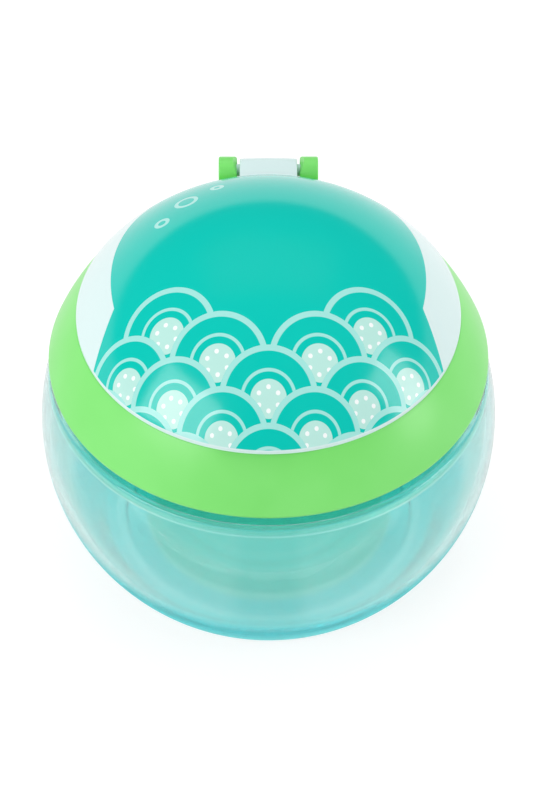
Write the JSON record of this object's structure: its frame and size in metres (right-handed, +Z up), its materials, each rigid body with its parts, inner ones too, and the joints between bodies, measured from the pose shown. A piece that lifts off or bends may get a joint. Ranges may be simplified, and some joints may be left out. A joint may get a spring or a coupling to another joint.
{
  "type": "toddler snack container",
  "caption": "Round snack cup with a screw-on collar, soft slit flaps in its mouth and a domed flip lid on a rear hinge.",
  "frame": {"origin": "centre of the cup's flat base, on the table", "axes": "+Z up through the middle of the cup; the lid's hinge is at +Y at the back and the thumb scoop at -Y at the front; +X to the right seen from the front"},
  "size_m": [0.095, 0.095, 0.0819],
  "materials": {
    "cup_plastic": "translucent aqua, polished",
    "collar_plastic": "opaque light green, satin gloss",
    "lid_plastic": "pale mint, polished, with a printed field on the dome",
    "flap_silicone": "soft milky elastomer, satin",
    "seal_silicone": "milky silicone, satin"
  },
  "bodies": {
    "cup": {"cup": "cup_plastic"},
    "seal": {"mouth_seal": "seal_silicone"},
    "collar": {"collar": "collar_plastic", "flap_ring": "flap_silicone", "flap_clamp": "collar_plastic"},
    "lid": {"lid": "lid_plastic"},
    "flap_1": {"flap_1": "flap_silicone"},
    "flap_2": {"flap_2": "flap_silicone"},
    "flap_3": {"flap_3": "flap_silicone"},
    "flap_4": {"flap_4": "flap_silicone"},
    "flap_5": {"flap_5": "flap_silicone"},
    "flap_6": {"flap_6": "flap_silicone"}
  },
  "joints": [
    {"name": "lid_hinge", "type": "hinge", "parent": "collar", "child": "lid", "pos_m": [0, 0.04455, 0.0595], "axis": [-1, 0, 0], "range_deg": [0, 170]},
    {"name": "collar_turn", "type": "hinge", "parent": "seal", "child": "collar", "pos_m": [0, 0, 0.045], "axis": [0, 0, 1], "range_deg": [0, 70]},
    {"name": "collar_lift", "type": "slide", "parent": "cup", "child": "seal", "axis": [0, 0, 1], "range_m": [0, 0.00311]},
    {"name": "flap_1_bend", "type": "hinge", "parent": "collar", "child": "flap_1", "pos_m": [0.0265, 0, 0.0555], "axis": [0, 1, 0], "range_deg": [-75, 40], "stiffness_Nm_per_rad": 0.004},
    {"name": "flap_2_bend", "type": "hinge", "parent": "collar", "child": "flap_2", "pos_m": [0.01325, 0.02295, 0.0555], "axis": [-0.866, 0.5, 0], "range_deg": [-75, 40], "stiffness_Nm_per_rad": 0.004},
    {"name": "flap_3_bend", "type": "hinge", "parent": "collar", "child": "flap_3", "pos_m": [-0.01325, 0.02295, 0.0555], "axis": [-0.866, -0.5, 0], "range_deg": [-75, 40], "stiffness_Nm_per_rad": 0.004},
    {"name": "flap_4_bend", "type": "hinge", "parent": "collar", "child": "flap_4", "pos_m": [-0.0265, 0, 0.0555], "axis": [0, -1, 0], "range_deg": [-75, 40], "stiffness_Nm_per_rad": 0.004},
    {"name": "flap_5_bend", "type": "hinge", "parent": "collar", "child": "flap_5", "pos_m": [-0.01325, -0.02295, 0.0555], "axis": [0.866, -0.5, 0], "range_deg": [-75, 40], "stiffness_Nm_per_rad": 0.004},
    {"name": "flap_6_bend", "type": "hinge", "parent": "collar", "child": "flap_6", "pos_m": [0.01325, -0.02295, 0.0555], "axis": [0.866, 0.5, 0], "range_deg": [-75, 40], "stiffness_Nm_per_rad": 0.004}
  ],
  "couplings": [
    {"joint": "collar_turn", "follows": "collar_lift", "rad_per_m": 392.7}
  ]
}
